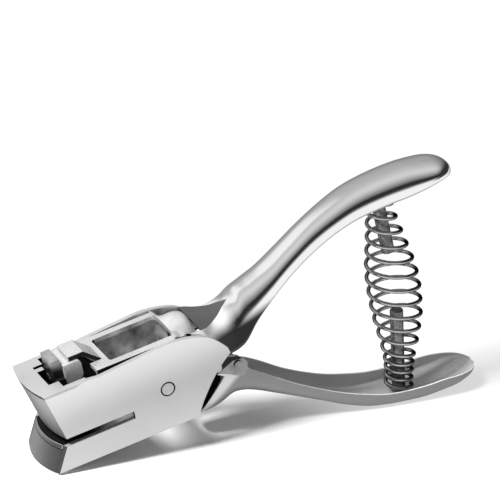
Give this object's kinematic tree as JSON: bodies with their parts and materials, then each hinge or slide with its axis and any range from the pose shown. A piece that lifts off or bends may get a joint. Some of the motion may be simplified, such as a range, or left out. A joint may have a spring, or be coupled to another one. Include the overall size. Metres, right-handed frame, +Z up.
{
  "type": "hand-held slot punch",
  "caption": "Hand-held slot punch of plated sheet steel: box jaw with a throat, a lever-driven flat punch, two curved handles and a barrel spring between them.",
  "frame": {"origin": "on the surface the tool stands on, below the middle of its length and width", "axes": "+X runs from the jaw to the handles, +Y lies across the tool towards its far side, +Z is up"},
  "size_m": [0.158, 0.027, 0.0815],
  "materials": {
    "nickel_plate": "polished nickel plate",
    "ground_steel": "ground and hardened",
    "satin_steel": "satin zinc",
    "tool_steel": "ground tool steel",
    "rivet_steel": "plated",
    "spring_steel": "plated wire"
  },
  "bodies": {
    "frame": {"jaw_housing": "nickel_plate", "upper_handle": "nickel_plate", "die_block": "satin_steel", "die_plate": "ground_steel", "punch_guide": "satin_steel", "pivot_pin": "rivet_steel", "pivot_washer_near": "satin_steel", "pivot_washer_far": "satin_steel", "upper_spring_post": "satin_steel", "handle_spring": "spring_steel", "punch_return_spring": "spring_steel"},
    "lever": {"drive_lever": "nickel_plate", "lower_handle": "nickel_plate", "lower_spring_post": "satin_steel", "handle_rivet_front": "rivet_steel", "handle_rivet_rear": "rivet_steel", "pivot_sleeve": "satin_steel"},
    "punch": {"punch_blade": "tool_steel", "punch_holder": "satin_steel", "holder_rivet": "rivet_steel"}
  },
  "joints": [
    {"name": "lever_pivot", "type": "hinge", "parent": "frame", "child": "lever", "pos_m": [-0.03458, 0, 0.02349], "axis": [0, -1, 0], "range_deg": [0, 7.5], "stiffness_Nm_per_rad": 8, "springref_deg": -14.32, "deforming": ["handle_spring"]},
    {"name": "punch_slide", "type": "slide", "parent": "frame", "child": "punch", "axis": [0.225, 0, -0.9744], "range_m": [0, 0.0036], "deforming": ["punch_return_spring"]}
  ],
  "couplings": [
    {"joint": "punch_slide", "follows": "lever_pivot", "m_per_rad": 0.0271}
  ]
}
